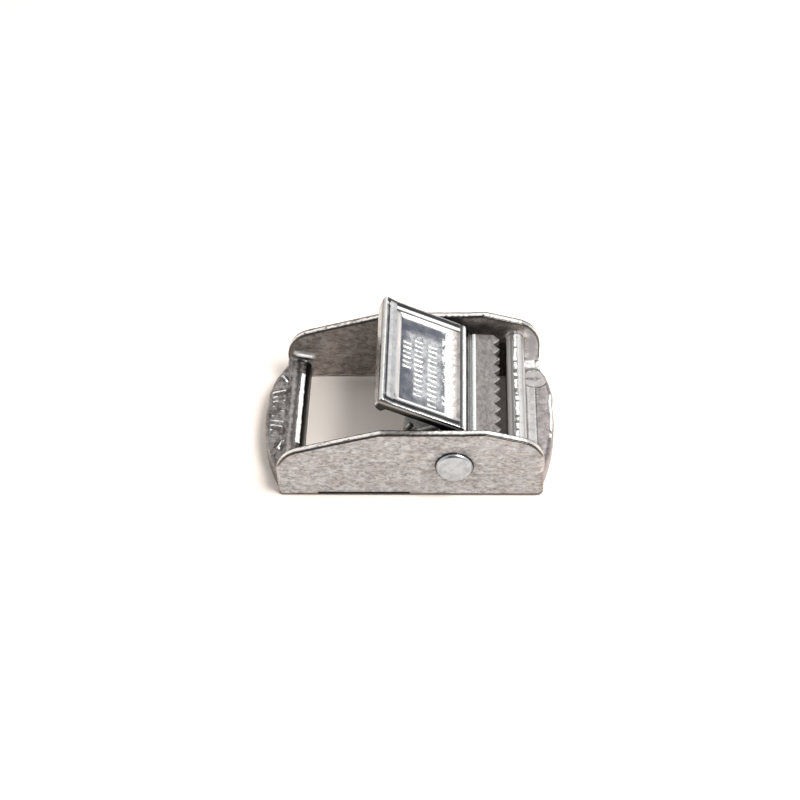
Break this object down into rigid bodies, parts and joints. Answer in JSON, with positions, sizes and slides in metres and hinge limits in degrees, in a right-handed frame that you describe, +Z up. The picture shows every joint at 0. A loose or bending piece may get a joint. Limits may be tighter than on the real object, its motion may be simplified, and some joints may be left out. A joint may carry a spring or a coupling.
{
  "type": "cam buckle",
  "caption": "Pressed metal cam buckle for narrow webbing, with a sprung toothed lever that grips the strap against a bar.",
  "frame": {"origin": "on the surface that the buckle lies on, under the middle of its outline", "axes": "+X from the webbing bar towards the anvil bar, +Y along the rivet, +Z up"},
  "size_m": [0.0489, 0.0316, 0.0197],
  "materials": {
    "frame_steel": "matte, mottled bare metal",
    "lever_plating": "bright plated, lightly brushed",
    "rivet_steel": "smooth satin",
    "spring_wire": "drawn wire"
  },
  "bodies": {
    "frame": {"buckle_frame": "frame_steel", "pivot_rivet": "rivet_steel", "torsion_spring": "spring_wire"},
    "lever": {"cam_lever": "lever_plating"}
  },
  "joints": [
    {"name": "lever_pivot", "type": "hinge", "parent": "frame", "child": "lever", "pos_m": [0.0077, 0, 0.00695], "axis": [0, -1, 0], "range_deg": [-18, 45], "stiffness_Nm_per_rad": 0.1, "deforming": ["torsion_spring"]}
  ]
}
